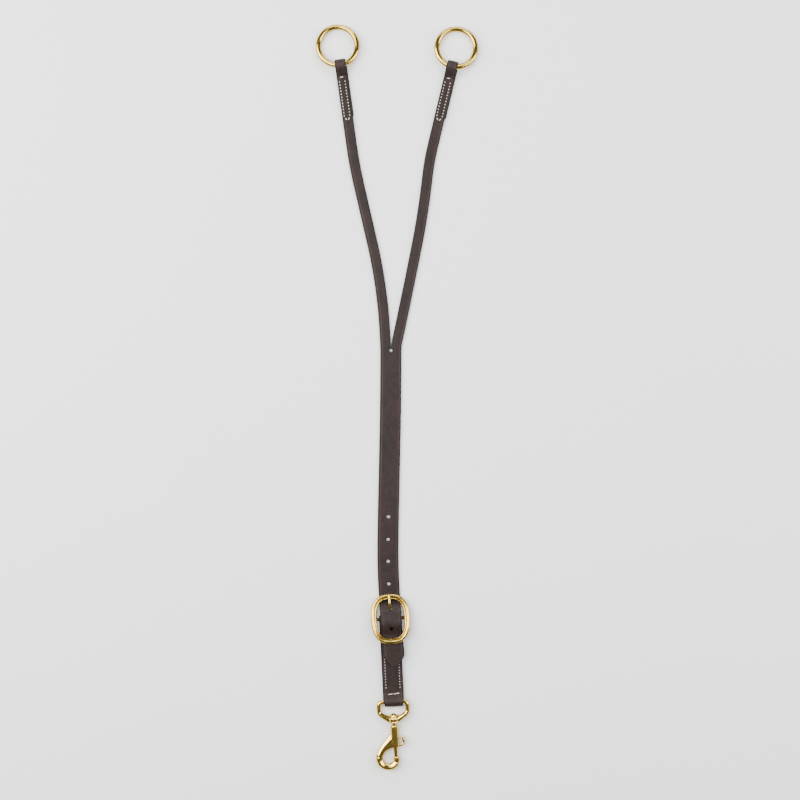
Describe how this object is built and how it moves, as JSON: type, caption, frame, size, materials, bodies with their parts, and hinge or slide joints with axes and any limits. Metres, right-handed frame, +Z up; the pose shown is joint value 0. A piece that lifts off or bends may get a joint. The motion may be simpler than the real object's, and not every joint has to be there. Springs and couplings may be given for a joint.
{
  "type": "martingale fork",
  "caption": "Split leather riding strap whose two branches end in rein rings, adjusted by a buckle and clipped to a girth by a swivel bolt snap.",
  "frame": {"origin": "centre of the part's box on the surface it lies on", "axes": "+Y along the strap towards the rein rings, +Z up from the surface it lies on, +X to the right seen from above"},
  "size_m": [0.1944, 0.8932, 0.0154],
  "materials": {
    "leather": "dark brown bridle leather, waxed",
    "brass": "polished cast brass",
    "thread": "waxed cream thread",
    "spring_steel": "drawn wire"
  },
  "bodies": {
    "strap": {"fork_strap": "leather", "left_loop_stitching": "thread", "right_loop_stitching": "thread", "left_bar_stitch": "thread", "right_bar_stitch": "thread", "buckle_frame": "brass", "snap_strap": "leather", "snap_strap_stitching": "thread", "snap_strap_cross_stitch": "thread"},
    "left_ring": {"left_ring": "brass"},
    "right_ring": {"right_ring": "brass"},
    "tongue": {"buckle_tongue": "brass"},
    "eye": {"snap_eye": "brass"},
    "snap": {"snap_body": "brass", "swivel_stud": "brass", "bolt_spring": "spring_steel"},
    "bolt": {"snap_bolt": "brass", "thumb_lever": "brass"}
  },
  "joints": [
    {"name": "left_ring_swing", "type": "hinge", "parent": "strap", "child": "left_ring", "pos_m": [-0.06708, 0.39711, 0.007], "axis": [0.9903, 0.1392, 0], "range_deg": [-150, 160]},
    {"name": "right_ring_swing", "type": "hinge", "parent": "strap", "child": "right_ring", "pos_m": [0.06629, 0.39519, 0.007], "axis": [0.9724, -0.2334, 0], "range_deg": [-150, 160]},
    {"name": "tongue_lift", "type": "hinge", "parent": "strap", "child": "tongue", "pos_m": [-0.007, -0.2653, 0.007], "axis": [0.9976, 0.0698, 0], "range_deg": [0, 5]},
    {"name": "eye_swing", "type": "hinge", "parent": "strap", "child": "eye", "pos_m": [-0.0044, -0.3649, 0.0057], "axis": [-0.998, -0.0628, 0], "range_deg": [-110, 110]},
    {"name": "snap_swivel", "type": "hinge", "parent": "eye", "child": "snap", "pos_m": [-0.0044, -0.3649, 0.0057], "axis": [-0.0628, 0.998, 0], "continuous": true},
    {"name": "bolt_slide", "type": "slide", "parent": "snap", "child": "bolt", "axis": [-0.0628, 0.998, 0], "range_m": [0, 0.01], "stiffness_N_per_m": 400, "springref_m": -0.006, "deforming": ["bolt_spring"]}
  ]
}
